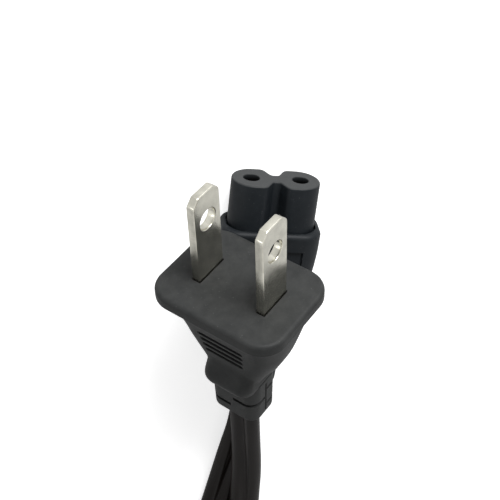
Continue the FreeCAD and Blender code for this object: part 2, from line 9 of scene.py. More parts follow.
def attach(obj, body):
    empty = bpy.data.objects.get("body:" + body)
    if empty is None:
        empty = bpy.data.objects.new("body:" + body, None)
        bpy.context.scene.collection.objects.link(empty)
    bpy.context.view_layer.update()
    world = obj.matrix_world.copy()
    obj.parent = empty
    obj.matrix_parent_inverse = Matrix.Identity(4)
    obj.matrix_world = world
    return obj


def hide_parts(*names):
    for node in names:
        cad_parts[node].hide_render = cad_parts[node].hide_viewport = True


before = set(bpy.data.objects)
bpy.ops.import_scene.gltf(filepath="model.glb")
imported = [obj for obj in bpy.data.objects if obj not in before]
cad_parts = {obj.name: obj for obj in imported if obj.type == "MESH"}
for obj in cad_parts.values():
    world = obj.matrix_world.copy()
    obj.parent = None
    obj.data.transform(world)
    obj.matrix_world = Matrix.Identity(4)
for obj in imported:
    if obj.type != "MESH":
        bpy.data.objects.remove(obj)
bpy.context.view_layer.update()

# Plug overmould
# Soft black PVC moulded round the blades and the cord in one shot: a flat face plate with
# rounded edges, a bowl-shaped grip with finger grooves on both broad sides, a thumb rest that
# ends in a lip, and a short slotted strain relief. Millimetres below the plug's face.
MM = 0.001
PLUG_AT = (1.11, -6.87, 22.3735)
PLUG_TURNS = (("Z", 9.0), ("X", -17.0), ("Y", 41.4))
PLATE = (12.45, 9.5, 4.5)
PLATE_DEPTH = 2.4
PLATE_EDGE, PLATE_UNDER = 0.8, 0.35
BOWL_DEPTH = (2.1, 5.4, 9.0, 12.2, 15.4, 18.4, 20.6, 21.6)
BOWL_HALF_X = (11.4, 10.9, 10.2, 9.3, 7.9, 6.1, 4.9, 4.3)
BOWL_HALF_Y = (8.6, 7.2, 6.1, 5.45, 4.8, 4.3, 3.8, 3.2)
BOWL_CORNER = (4.9, 4.9, 4.9, 4.7, 4.2, 3.4, 2.6, 2.0)
REST_DEPTH = (14.2, 18.0, 21.2, 22.3)
REST_HALF_X = (4.6, 4.9, 5.0, 4.9)
REST_HALF_Y = (4.1, 5.05, 6.1, 5.6)
REST_CORNER = (1.8, 2.2, 2.4, 2.3)
REST_FADE_IN = (13.0, 14.6)
REST_FILLET = 0.3
GROOVE_FIRST, GROOVE_PITCH, GROOVES = 9.0, 1.65, 4
GROOVE_HALF_LENGTH, GROOVE_WIDTH, GROOVE_DEPTH = 4.5, 0.95, 0.85
GROOVE_SHRINK, GROOVE_RIM, GROOVED_FROM_Y = 0.22, (-0.09, 0.05), 2.5
GROOVED_HALF_Y, GROOVED_NARROWING = 6.1, 0.32
LIP_DEPTH, LIP_EDGE = 22.3, 0.3
RELIEF_CORNER, RELIEF_CORNER_LOSS, RELIEF_EDGE = 2.4, 0.3, 0.4
SLOT_WIDTH, SLOT_DEPTH, SLOT_START, SLOT_CORNER = 0.7, 1.15, 0.35, 1.2
SLOT_SOFT, SLOT_END_SOFT = 0.03, 0.12
SEAM_WIDTH, SEAM_DEPTH, SEAM_MARGIN = 0.32, 0.3, 0.6
SEAM_SOFT, SEAM_END_SOFT, SEAM_FROM_X = 0.06, 0.1, 3
PLUG_RELIEF_TOP_AT, PLUG_RELIEF_TOP, PLUG_RELIEF_END = 20.0, (5.1, 3.9), (4.85, 3.6)
PLUG_SLOTS = (24.4, 26.65, 28.9)
PLUG_END = 31.8
BLADE_PITCH, BLADE_WIDTH, BLADE_THICK = 12.7, 6.35, 1.52
BLADE_GAP, BLADE_GAP_CORNER = 0.14, 0.12
BLADE_GAP_RIM = [(0, 0.07), (0.02, 0.02), (0.07, 0), (0.7, 0)]
PLUG_COLUMNS, PLUG_MEAN_SECTION = 300, (9.4, 5.6, 4.2)
ROW, FINE_ROW = 0.16, 0.06
RELIEF_ROW, RELIEF_FINE_ROW = 0.3, 0.05
SHARP_ANGLE = 42
GRAIN_SHARE, DUST_FROM, DUST_GAIN = 0.55, 0.735, 14.0


def turn_matrix(turns):
    """Product of turns about single axes, after the half turn that points a face at -Y."""
    turn = np.array([[-1.0, 0, 0], [0, 0, -1.0], [0, -1.0, 0]])
    for axis, degrees in reversed(turns):
        turn = np.array(Matrix.Rotation(math.radians(degrees), 3, axis)) @ turn
    return turn


def rounded_radius(angle, half_x, half_y, corner):
    """Distance from the axis to a rounded rectangle: where the ray leaves the straight sides,
    or, between them, where it leaves the corner's circle."""
    a, b, r = (np.reshape(v, (-1, 1)) for v in (half_x, half_y, corner))
    c, s = np.abs(np.cos(angle)), np.abs(np.sin(angle))
    side = np.minimum(a / np.maximum(c, 1e-9), b / np.maximum(s, 1e-9))
    along = (a - r) * c + (b - r) * s
    inside = along**2 - (a - r) ** 2 - (b - r) ** 2 + r**2
    in_corner = (side * c > a - r) & (side * s > b - r)
    return np.where(in_corner, along + np.sqrt(np.maximum(inside, 0)), side)


def even_angles(half_x, half_y, corner, count):
    """Angles that space points evenly round a rounded rectangle: the length round it is summed
    in fine steps and read back at even parts."""
    fine = np.linspace(0, 2 * np.pi, 7201)
    radius = rounded_radius(fine, half_x, half_y, corner)[0]
    steps = np.hypot(np.diff(radius * np.cos(fine)), np.diff(radius * np.sin(fine)))
    length = np.concatenate([[0], np.cumsum(steps)])
    return np.interp((np.arange(count) + 0.5) / count * length[-1], length, fine)


def smooth_curve(at, knots, values):
    """Cubic through the knots; its slope at a knot is the mean of the slopes beside it."""
    k, v = np.asarray(knots, float), np.asarray(values, float)
    slope = np.gradient(v, k)
    i = np.clip(np.searchsorted(k, at) - 1, 0, len(k) - 2)
    h = k[i + 1] - k[i]
    t = (at - k[i]) / h
    start = (2 * t**3 - 3 * t**2 + 1) * v[i] + (t**3 - 2 * t**2 + t) * h * slope[i]
    return start + (3 * t**2 - 2 * t**3) * v[i + 1] + (t**3 - t**2) * h * slope[i + 1]


def ramp(x, low, high):
    """0 below low, 1 above high, and a smooth S between them."""
    t = np.clip((x - low) / (high - low), 0, 1)
    return t * t * (3 - 2 * t)


def blended_max(a, b, width):
    """The larger of two surfaces, with a fillet as wide as given where they meet."""
    near = np.maximum(width - np.abs(a - b), 0) / width
    return np.maximum(a, b) + near**2 * width / 4


def rows_with_edges(start, end, spacing, edges, fine):
    """Depths from start to end at a coarse spacing, with fine steps beside each edge."""
    rows = [np.arange(start, end, spacing), np.array([end])]
    rows += [edge + fine * np.array([-1.5, -1.0, -0.5, 0, 0.5, 1.0, 1.5]) for edge in edges]
    rows = np.unique(np.round(np.concatenate(rows), 4))
    return rows[(rows >= start) & (rows <= end)]


def relief_rings(angle, half_top, half_end, top, start, end, slots, seam):
    """Strain relief from start to its closed end: a rounded rectangle that tapers from top to
    end, cut inwards by each slot round two opposite corners, the other two at the next slot,
    and by a seam down the middle of both narrow sides where seam is 1."""
    edges = [s for slot in slots for s in (slot, slot + SLOT_WIDTH)]
    depth = rows_with_edges(start, end - RELIEF_EDGE, RELIEF_ROW, edges, RELIEF_FINE_ROW)
    share = np.clip((depth - top) / (end - top), 0, 1)
    half_x = half_top[0] + (half_end[0] - half_top[0]) * share
    half_y = half_top[1] + (half_end[1] - half_top[1]) * share
    outer = rounded_radius(angle, half_x, half_y, RELIEF_CORNER - RELIEF_CORNER_LOSS * share)
    inner = rounded_radius(angle, half_x - SLOT_DEPTH, half_y - SLOT_DEPTH,
                           SLOT_CORNER + 0 * share)
    x, y = outer * np.cos(angle), outer * np.sin(angle)
    first, last = start + SEAM_MARGIN, end - SEAM_MARGIN
    along_seam = ramp(depth, first, first + SEAM_END_SOFT)
    along_seam = along_seam * (1 - ramp(depth, last - SEAM_END_SOFT, last))
    half = SEAM_WIDTH / 2
    across_seam = 1 - ramp(np.abs(y), half - SEAM_SOFT, half + SEAM_SOFT)
    across_seam = across_seam * (np.abs(x) > SEAM_FROM_X)
    outer = outer - seam * SEAM_DEPTH * along_seam[:, None] * across_seam
    off_middle = ramp(np.abs(x), SLOT_START, SLOT_START + SLOT_END_SOFT)
    off_middle = off_middle * ramp(np.abs(y), SLOT_START, SLOT_START + SLOT_END_SOFT)
    for i, slot in enumerate(slots):
        corners = (x * y > 0) if i % 2 == 0 else (x * y < 0)
        far = slot + SLOT_WIDTH
        cut = ramp(depth, slot - SLOT_SOFT, slot + SLOT_SOFT)
        cut = cut * (1 - ramp(depth, far - SLOT_SOFT, far + SLOT_SOFT))
        outer = outer + (inner - outer) * cut[:, None] * off_middle * corners
    t = np.linspace(0, np.pi / 2, 8)[1:]
    inset = RELIEF_EDGE * (1 - np.cos(t))
    edge = rounded_radius(angle, half_end[0] - inset, half_end[1] - inset,
                          RELIEF_CORNER - RELIEF_CORNER_LOSS - inset)
    closing = edge[-1] * np.array([[0.7], [0.4], [0.1], [0.002]])
    depth = np.concatenate([depth, end - RELIEF_EDGE + RELIEF_EDGE * np.sin(t),
                            np.full(len(closing), end)])
    return depth, np.concatenate([outer, edge, closing])


def ring_patch(depth, radius, angle):
    """Points and quads of a skin given by its distance from the axis on each ring."""
    z = np.broadcast_to(-np.reshape(depth, (-1, 1)), radius.shape)
    points = np.stack([radius * np.cos(angle), radius * np.sin(angle), z], axis=2)
    return points, ring_quads(*radius.shape)


def ring_quads(rows, columns):
    """Quads between neighbouring rings, the last column joined to the first."""
    i, j = np.meshgrid(np.arange(rows - 1), np.arange(columns), indexing="ij")
    k = (j + 1) % columns
    quads = [i * columns + j, (i + 1) * columns + j, (i + 1) * columns + k, i * columns + k]
    return np.stack(quads, axis=2).reshape(-1, 4)


def cut_grooves(points, surface, first, shrink):
    """Finger grooves: each broad side is pushed in by a round-ended bar's soft-edged depth."""
    x, y, depth = points[..., 0], points[..., 1], -points[..., 2]
    for i in range(GROOVES):
        half = GROOVE_HALF_LENGTH - shrink * i - GROOVE_WIDTH / 2
        beyond = np.maximum(np.abs(x) - half, 0)
        away = np.hypot(beyond, depth - first - i * GROOVE_PITCH) - GROOVE_WIDTH / 2
        floor = surface(i) - GROOVE_DEPTH
        down = np.maximum(np.abs(y) - floor, 0) * (1 - ramp(away, *GROOVE_RIM))
        y = np.where(np.abs(y) > GROOVED_FROM_Y, y - np.sign(y) * down, y)
    points[..., 1] = y


def rounded_outline(corners, radii, spacing):
    """Closed anticlockwise outline with outward normals: straight sides, and at each corner
    the arc that touches both sides."""
    corners = np.array(corners, float)
    ahead = np.roll(corners, -1, 0) - corners
    ahead /= np.linalg.norm(ahead, axis=1)[:, None]
    back = -np.roll(ahead, 1, 0)
    arcs = []
    for corner, u, w, r in zip(corners, back, ahead, radii):
        half = math.acos(np.clip(u @ w, -1, 1)) / 2
        centre = corner + (u + w) / np.linalg.norm(u + w) * r / math.sin(half)
        convex = 1.0 if u[1] * w[0] - u[0] * w[1] > 0 else -1.0
        start = math.atan2(*(corner + u * r / math.tan(half) - centre)[::-1])
        count = max(3, int(r * (math.pi - 2 * half) / min(spacing, 0.4 * r)) + 2)
        turn = start + convex * np.linspace(0, math.pi - 2 * half, count)
        out = np.stack([np.cos(turn), np.sin(turn)], axis=1)
        arcs.append((centre + r * out, out * convex))
    points, normals = [], []
    for (p, n), (q, _) in zip(arcs, arcs[1:] + arcs[:1]):
        gap = q[0] - p[-1]
        count = int(np.linalg.norm(gap) / spacing)
        between = np.linspace(0, 1, count + 2)[1:-1, None]
        points += [p, p[-1] + gap * between]
        normals += [n, np.broadcast_to(n[-1], (count, 2))]
    return np.concatenate(points), np.concatenate(normals)


def flat_cap(outline, holes, z):
    """Flat face inside an outline and outside the holes in it, as triangles."""
    loops = [outline] + list(holes)
    points, edges, first = [], [], 0
    for loop in loops:
        n = len(loop)
        points += [Vector(p) for p in loop]
        edges += [(first + i, first + (i + 1) % n) for i in range(n)]
        first += n
    out, _, faces, _, _, _ = delaunay_2d_cdt(points, edges, [], 1, 1e-7)
    out = np.array([tuple(p) for p in out])
    faces = np.array([f for f in faces])
    middle = out[faces].mean(axis=1)
    keep = np.ones(len(faces), bool)
    for hole in holes:
        a, b = hole, np.roll(hole, -1, 0)
        crosses = (a[:, 1] > middle[:, 1:]) != (b[:, 1] > middle[:, 1:])
        rise = np.where(b[:, 1] == a[:, 1], 1e-12, b[:, 1] - a[:, 1])
        at = a[:, 0] + (middle[:, 1:] - a[:, 1]) / rise * (b[:, 0] - a[:, 0])
        keep &= (crosses & (at > middle[:, :1])).sum(axis=1) % 2 == 0
    return np.column_stack([out, np.full(len(out), z)]), faces[keep]


def piece(name, patches, turn, at, material):
    """Mesh of patches of (points, corner numbers), turned, moved and put in metres. Each point
    keeps its place in the piece's own axes as an attribute for the material."""
    points, corners, sizes, first = [], [], [], 0
    for p, f in patches:
        points.append(np.reshape(p, (-1, 3)))
        corners.append((f + first).ravel())
        sizes.append(np.full(len(f), f.shape[1]))
        first += len(points[-1])
    places = (np.concatenate(points) @ turn.T + np.array(at)) * MM
    corners, sizes = np.concatenate(corners), np.concatenate(sizes)
    mesh = bpy.data.meshes.new(name)
    mesh.vertices.add(len(places))
    mesh.vertices.foreach_set("co", places.ravel())
    mesh.loops.add(len(corners))
    mesh.loops.foreach_set("vertex_index", corners.astype(np.int32))
    mesh.polygons.add(len(sizes))
    mesh.polygons.foreach_set("loop_start", (np.cumsum(sizes) - sizes).astype(np.int32))
    mesh.update(calc_edges=True)
    mesh.polygons.foreach_set("use_smooth", np.ones(len(sizes), bool))
    mesh.set_sharp_from_angle(angle=math.radians(SHARP_ANGLE))
    mesh.materials.append(material)
    own = mesh.attributes.new("own_place", "FLOAT_VECTOR", "POINT")
    own.data.foreach_set("vector", np.concatenate(points).ravel() * MM)
    made = bpy.data.objects.new(name, mesh)
    bpy.context.scene.collection.objects.link(made)
    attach(made, "root")
    return made


def new_group(name, inputs, outputs):
    """Empty shader node group with its sockets, and its input and output nodes."""
    group = bpy.data.node_groups.new(name, "ShaderNodeTree")
    for socket, default in inputs:
        made = group.interface.new_socket(socket, in_out="INPUT", socket_type="NodeSocketFloat")
        made.default_value = default
    for socket in outputs:
        group.interface.new_socket(socket, in_out="OUTPUT", socket_type="NodeSocketFloat")
    return group, group.nodes.new("NodeGroupInput"), group.nodes.new("NodeGroupOutput")


def add_noise(tree, vector, scale, detail, roughness=0.5):
    """Noise of 0..1; the scale is a number or a socket."""
    noise = tree.nodes.new("ShaderNodeTexNoise")
    noise.inputs["Detail"].default_value = detail
    noise.inputs["Roughness"].default_value = roughness
    tree.links.new(vector, noise.inputs["Vector"])
    if isinstance(scale, float):
        noise.inputs["Scale"].default_value = scale
    else:
        tree.links.new(scale, noise.inputs["Scale"])
    return noise.outputs["Fac"]


def add_math(tree, operation, a, b=0.0):
    """One sum on two values, each a number or a socket."""
    node = tree.nodes.new("ShaderNodeMath")
    node.operation = operation
    for socket, value in zip(node.inputs, (a, b)):
        if isinstance(value, (int, float)):
            socket.default_value = value
        else:
            tree.links.new(value, socket)
    return node.outputs[0]


def moulded_group():
    """Surface of moulded PVC: Height is fine grain with shallow flow waves, Cloud a soft
    uneven sheen, and Dust a few pale specks where a fine noise passes its threshold."""
    group, given, out = new_group("moulded surface", [("Grain", 9000.0), ("Waves", 260.0)],
                                  ["Height", "Cloud", "Dust"])
    place = group.nodes.new("ShaderNodeTexCoord").outputs["Object"]
    grain = add_noise(group, place, given.outputs["Grain"], 3.0)
    waves = add_noise(group, place, given.outputs["Waves"], 2.0)
    height = add_math(group, "ADD", add_math(group, "MULTIPLY", grain, GRAIN_SHARE), waves)
    cloud = add_noise(group, place, 420.0, 4.0, 0.6)
    dust = add_noise(group, place, 5200.0, 1.0)
    dust = add_math(group, "MULTIPLY", add_math(group, "SUBTRACT", dust, DUST_FROM), DUST_GAIN)
    dust = add_math(group, "MINIMUM", add_math(group, "MAXIMUM", dust, 0.0), 1.0)
    group.links.new(height, out.inputs["Height"])
    group.links.new(cloud, out.inputs["Cloud"])
    group.links.new(dust, out.inputs["Dust"])
    return group


MOULDED = moulded_group()


def add_ramp(tree, value, stops):
    """Colour ramp of (place, colour) stops."""
    node = tree.nodes.new("ShaderNodeValToRGB")
    while len(node.color_ramp.elements) < len(stops):
        node.color_ramp.elements.new(0.5)
    for element, (place, colour) in zip(node.color_ramp.elements, stops):
        element.position = place
        element.color = (*colour, 1.0)
    tree.links.new(value, node.inputs["Fac"])
    return node.outputs["Color"]


def mix_colour(tree, share, a, b):
    """Colour that goes from a to b as the share goes from 0 to 1."""
    node = tree.nodes.new("ShaderNodeMix")
    node.data_type = "RGBA"
    tree.links.new(share, node.inputs["Factor"])
    for socket, value in ((node.inputs["A"], a), (node.inputs["B"], b)):
        if isinstance(value, tuple):
            socket.default_value = (*value, 1.0)
        else:
            tree.links.new(value, socket)
    return node.outputs["Result"]


def add_range(tree, value, low, high):
    """Straight map of 0..1 on to low..high."""
    return add_math(tree, "ADD", add_math(tree, "MULTIPLY", value, high - low), low)


def add_bump(tree, height, distance):
    """Normal tilted by the slope of a height that stands for a distance in metres."""
    bump = tree.nodes.new("ShaderNodeBump")
    bump.inputs["Distance"].default_value = distance
    tree.links.new(height, bump.inputs["Height"])
    return bump.outputs["Normal"]


def new_material(name):
    """A material, its node tree and its shader."""
    material = bpy.data.materials.new(name)
    material.use_nodes = True
    tree = material.node_tree
    return material, tree, tree.nodes["Principled BSDF"]


def moulded_material(name, dark, pale, dusty, roughness, grain, waves, bump):
    """Dark moulded plastic: two shades clouded together, dust specks, uneven gloss, grain."""
    material, tree, shader = new_material(name)
    surface = tree.nodes.new("ShaderNodeGroup")
    surface.node_tree = MOULDED
    surface.inputs["Grain"].default_value = grain
    surface.inputs["Waves"].default_value = waves
    clouded = add_ramp(tree, surface.outputs["Cloud"], [(0.3, dark), (0.7, pale)])
    tree.links.new(mix_colour(tree, surface.outputs["Dust"], clouded, dusty),
                   shader.inputs["Base Color"])
    gloss = add_range(tree, surface.outputs["Cloud"], roughness[0], roughness[1])
    tree.links.new(gloss, shader.inputs["Roughness"])
    tree.links.new(add_bump(tree, surface.outputs["Height"], bump), shader.inputs["Normal"])
    shader.inputs["Specular IOR Level"].default_value = 0.13
    return material


plug_pvc = moulded_material("plug PVC", dark=(0.021, 0.022, 0.022), pale=(0.033, 0.034, 0.0335),
                            dusty=(0.09, 0.09, 0.088), roughness=(0.46, 0.6), grain=9000.0,
                            waves=260.0, bump=0.00003)
plug_turn = turn_matrix(PLUG_TURNS)


def plate_rings(angle):
    """Face edge as a quarter circle, the plate's side, then a small quarter circle under it."""
    t = np.linspace(0, np.pi / 2, 9)
    under = PLATE_UNDER * (1 - np.cos(t))
    inset = np.concatenate([PLATE_EDGE * (1 - np.sin(t)), under])
    depth = np.concatenate([PLATE_EDGE * (1 - np.cos(t)),
                            PLATE_DEPTH - PLATE_UNDER + PLATE_UNDER * np.sin(t)])
    return depth, rounded_radius(angle, PLATE[0] - inset, PLATE[1] - inset, PLATE[2] - inset)


def bowl_rings(angle):
    """Union of the bowl and the thumb rest that flares out to the lip, with a fillet."""
    edges = [GROOVE_FIRST + i * GROOVE_PITCH + s * GROOVE_WIDTH / 2
             for i in range(GROOVES) for s in (-1, 1)]
    depth = rows_with_edges(PLATE_DEPTH + 0.02, LIP_DEPTH - LIP_EDGE, ROW, edges, FINE_ROW)
    bowl = rounded_radius(angle, *(smooth_curve(depth, BOWL_DEPTH, v)
                                   for v in (BOWL_HALF_X, BOWL_HALF_Y, BOWL_CORNER)))
    rest = rounded_radius(angle, np.interp(depth, REST_DEPTH, REST_HALF_X),
                          smooth_curve(depth, REST_DEPTH, REST_HALF_Y),
                          np.interp(depth, REST_DEPTH, REST_CORNER))
    rest = rest * ramp(depth, *REST_FADE_IN)[:, None]
    return depth, blended_max(bowl, rest, REST_FILLET)


def plug_skin():
    """Plate, bowl with rest and lip, and strain relief as one skin from the face to the cord."""
    angle = even_angles(*PLUG_MEAN_SECTION, PLUG_COLUMNS)
    plate_depth, plate = plate_rings(angle)
    bowl_depth, bowl = bowl_rings(angle)
    relief_depth, relief = relief_rings(angle, PLUG_RELIEF_TOP, PLUG_RELIEF_END,
                                        PLUG_RELIEF_TOP_AT, LIP_DEPTH, PLUG_END, PLUG_SLOTS, 1)
    t = np.linspace(0, 1, 6)[1:, None]
    lip_depth = LIP_DEPTH - LIP_EDGE + LIP_EDGE * np.sin(t[:, 0] * np.pi / 2)
    lip = bowl[-1] - LIP_EDGE * (1 - np.cos(t * np.pi / 2))
    lip = np.maximum(lip, relief[0])
    under = lip[-1] + (relief[0] - lip[-1]) * np.array([[0.5], [0.97]])
    depth = np.concatenate([plate_depth, bowl_depth, lip_depth, np.full(2, LIP_DEPTH),
                            relief_depth])
    radius = np.concatenate([plate, bowl, lip, under, relief])
    points, quads = ring_patch(depth, radius, angle)
    cut_grooves(points, lambda i: GROOVED_HALF_Y - GROOVED_NARROWING * i, GROOVE_FIRST,
                GROOVE_SHRINK)
    return points, quads


def slot_wall(centre, half_x, half_y, angle):
    """Rounded rim of the gap round a blade, then its wall down into the mould."""
    depth, grow = np.array(BLADE_GAP_RIM).T
    radius = rounded_radius(angle, half_x + grow, half_y + grow, BLADE_GAP_CORNER + grow)[:, ::-1]
    points, quads = ring_patch(depth, radius, angle[::-1])
    points[..., 0] += centre
    return points, quads


slot_half = (BLADE_THICK / 2 + BLADE_GAP, BLADE_WIDTH / 2 + BLADE_GAP)
slot_angle = even_angles(*slot_half, BLADE_GAP_CORNER, 64)
plug_points, plug_quads = plug_skin()
slots = [slot_wall(s * BLADE_PITCH / 2, *slot_half, slot_angle) for s in (-1, 1)]
plug_face = flat_cap(plug_points[0, :, :2], [wall[0][0, ::-1, :2] for wall in slots], 0.0)
plug_mould = piece("plug_mould", [(plug_points, plug_quads), plug_face] + slots, plug_turn,
                   PLUG_AT, plug_pvc)
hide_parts("plug_overmould")

# Plug blades
# Two flat blades stamped from brass, nickel-plated and held by the mould, each with a round hole
# near the tip, edges broken by tumbling, and a tip bevelled so that it finds its slot.
BLADE_LENGTH, BLADE_ROOT, BLADE_CORNER = 17.4, -5.0, 1.2
BLADE_HOLE_AT, BLADE_HOLE_R, BLADE_HOLE_RIM = 11.8, 1.95, 0.14
BLADE_EDGE, BLADE_TIP_EDGE = 0.1, 0.32
TIP_BEVEL_FROM, TIP_BEVEL_FULL = -0.6, 0.3
BLADE_ROUNDS = (0.1, 0.1, 0.5, 0.5, 0.5, 0.5)
OUTLINE_STEP, HOLE_COLUMNS = 0.3, 56


def circle_angles(count):
    """Evenly spaced angles once round."""
    return np.arange(count) / count * 2 * np.pi


def flat_half(outline, normals, holes, half, edge, rim):
    """One half of a flat piece: its face, its edge rounded by as much as edge gives for each
    point, and its holes (middle, radius) with rounded rims, from the face to mid-thickness."""
    t = np.linspace(0, np.pi / 2, 6)[:, None]
    ring = outline - normals * (edge * (1 - np.sin(t)))[..., None]
    side = np.concatenate([ring, ring[-1:]])
    height = np.concatenate([half - edge * (1 - np.cos(t)), np.zeros((1, len(outline)))])
    patches = [(np.concatenate([side, height[..., None]], axis=2), ring_quads(*height.shape))]
    rims = []
    for middle, radius in holes:
        angle = circle_angles(HOLE_COLUMNS)
        depth = np.append(rim * (1 - np.cos(t[:, 0])), half)
        grow = np.append(rim * (1 - np.sin(t[:, 0])), 0)
        wall, quads = ring_patch(depth, (radius + grow)[:, None] + 0 * angle, angle[::-1])
        wall = wall + np.array([*middle, half])
        patches.append((wall, quads))
        rims.append(wall[0, ::-1, :2])
    patches.append(flat_cap(side[0], rims, half))
    return patches


def both_halves(patches, order, shift):
    """A flat piece whole: the half and its copy turned over, with axes put in order."""
    whole = []
    for points, faces in patches:
        points = np.reshape(points, (-1, 3))
        for flip in ((1, 1, 1), (-1, 1, -1)):
            whole.append(((points * flip)[:, order] + shift, faces))
    return whole


def stretched_noise(tree, place, stretch, scale, detail):
    """Noise drawn out along the axes where stretch is small."""
    mapping = tree.nodes.new("ShaderNodeMapping")
    mapping.inputs["Scale"].default_value = stretch
    tree.links.new(place, mapping.inputs["Vector"])
    return add_noise(tree, mapping.outputs["Vector"], scale, detail)


def own_noise(tree, stretch, scale, detail):
    """Stretched noise in a piece's own axes."""
    place = tree.nodes.new("ShaderNodeAttribute")
    place.attribute_name = "own_place"
    return stretched_noise(tree, place.outputs["Vector"], stretch, scale, detail)


def sheet_metal(name, dull, bright, roughness, stretch):
    """Plated sheet: two tones clouded together, uneven polish and fine lines from the tool."""
    material, tree, shader = new_material(name)
    shader.inputs["Metallic"].default_value = 1.0
    cloud = own_noise(tree, (1, 1, 1), 420.0, 4.0)
    lines = own_noise(tree, stretch, 7000.0, 3.0)
    tree.links.new(add_ramp(tree, cloud, [(0.35, dull), (0.65, bright)]),
                   shader.inputs["Base Color"])
    worn = add_math(tree, "ADD", add_math(tree, "MULTIPLY", cloud, 0.6),
                    add_math(tree, "MULTIPLY", lines, 0.4))
    tree.links.new(add_range(tree, worn, roughness[0], roughness[1]), shader.inputs["Roughness"])
    tree.links.new(add_bump(tree, lines, 0.000006), shader.inputs["Normal"])
    return material


w, shoulder = BLADE_WIDTH / 2, BLADE_LENGTH - BLADE_CORNER
blade_corners = [(-w, BLADE_ROOT), (w, BLADE_ROOT), (w, shoulder),
                 (w - BLADE_CORNER, BLADE_LENGTH), (BLADE_CORNER - w, BLADE_LENGTH),
                 (-w, shoulder)]
blade_outline, blade_normals = rounded_outline(blade_corners, BLADE_ROUNDS, OUTLINE_STEP)
near_tip = ramp(blade_outline[:, 1], shoulder + TIP_BEVEL_FROM, shoulder + TIP_BEVEL_FULL)
blade_edge = BLADE_EDGE + (BLADE_TIP_EDGE - BLADE_EDGE) * near_tip
blade_half = flat_half(blade_outline, blade_normals, [((0, BLADE_HOLE_AT), BLADE_HOLE_R)],
                       BLADE_THICK / 2, blade_edge, BLADE_HOLE_RIM)
nickel = sheet_metal("nickel plate", dull=(0.50, 0.488, 0.425), bright=(0.66, 0.645, 0.565),
                     roughness=(0.14, 0.28), stretch=(1, 1, 0.02))
for name, side in (("blade_left", -1), ("blade_right", 1)):
    patches = both_halves(blade_half, [2, 0, 1], (side * BLADE_PITCH / 2, 0, 0))
    blade = piece("plug_" + name, patches, plug_turn, PLUG_AT, nickel)
    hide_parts(name)

# Connector nose
# Rigid black insert with the figure-eight section of this connector: two lobes with flats, a
# notch in the middle of each flat, and two pin holes whose contacts sit a little way down.
CONNECTOR_AT = (-5.735, -18.32, 4.972)
NOSE_CORNERS = [(7.8, -3.95), (7.8, 3.95), (1.9, 3.95), (0.62, 1.5), (-0.62, 1.5), (-1.9, 3.95),
                (-7.8, 3.95), (-7.8, -3.95), (-1.9, -3.95), (-0.62, -1.5), (0.62, -1.5),
                (1.9, -3.95)]
NOSE_RADII = (3.95, 3.95, 1.2, 0.6, 0.6, 1.2) * 2
NOSE_STEP, NOSE_EDGE, NOSE_DEPTHS = 0.25, 0.3, [2.5, 5.0, 7.5, 9.45]
PIN_PITCH, PIN_HOLE_R, PIN_RIM, PIN_COLUMNS = 8.6, 1.45, 0.15, 64
PIN_DEPTHS, PIN_GROW = [1.0, 1.8, 2.6, 2.6], [0, 0, 0, 0.35]
# Painted light on the nose: depths over which its face and rounded edge are painted lighter
FACE_PAINTED_LIGHT_FROM, FACE_PAINTED_LIGHT_FULL = -0.25, -0.02
# Painted shade in the pin holes: the depths where it starts and is full, and its reach past the
# hole
BORE_PAINTED_SHADE_FROM, BORE_PAINTED_SHADE_FULL, BORE_PAINTED_SHADE_REACH = 0.1, 0.9, 0.4


def paint_light_or_shade_where(material, mask, colour):
    """Base colour goes over to painted light or shade where the points' own mask rises to 1."""
    tree = material.node_tree
    base = tree.nodes["Principled BSDF"].inputs["Base Color"]
    attribute = tree.nodes.new("ShaderNodeAttribute")
    attribute.attribute_name = mask
    tree.links.new(mix_colour(tree, attribute.outputs["Fac"], base.links[0].from_socket, colour),
                   base)


connector_turn = turn_matrix(())
nose_outline, nose_normals = rounded_outline(NOSE_CORNERS, NOSE_RADII, NOSE_STEP)
t = np.linspace(0, np.pi / 2, 7)
nose_inset = np.concatenate([NOSE_EDGE * (1 - np.sin(t)), np.zeros(len(NOSE_DEPTHS))])
nose_depth = np.concatenate([NOSE_EDGE * (1 - np.cos(t)), NOSE_DEPTHS])
nose_rings = nose_outline - nose_normals * nose_inset[:, None, None]
nose_points = np.concatenate([nose_rings, np.broadcast_to(-nose_depth[:, None, None],
                                                          nose_rings.shape[:2] + (1,))], axis=2)
hole_angle = circle_angles(PIN_COLUMNS)
hole_depth = np.concatenate([PIN_RIM * (1 - np.cos(t)), PIN_DEPTHS])
hole_radius = PIN_HOLE_R + np.concatenate([PIN_RIM * (1 - np.sin(t)), PIN_GROW])
pin_holes = []
for side in (-1, 1):
    hole, quads = ring_patch(hole_depth, hole_radius[:, None] + 0 * hole_angle, hole_angle[::-1])
    pin_holes.append((hole + np.array([side * PIN_PITCH / 2, 0, 0]), quads))
nose_face = flat_cap(nose_points[0, :, :2], [hole[0, ::-1, :2] for hole, _ in pin_holes], 0.0)
insert_plastic = moulded_material("insert plastic", dark=(0.007, 0.009, 0.011),
                                  pale=(0.011, 0.0135, 0.016), dusty=(0.11, 0.11, 0.11),
                                  roughness=(0.42, 0.55), grain=12000.0, waves=180.0,
                                  bump=0.00002)
nose = piece("connector_nose", [(nose_points, ring_quads(*nose_points.shape[:2])), nose_face]
             + pin_holes, connector_turn, CONNECTOR_AT, insert_plastic)
nose_own = np.empty(len(nose.data.vertices) * 3)
nose.data.attributes["own_place"].data.foreach_get("vector", nose_own)
nose_own = nose_own.reshape(-1, 3) / MM
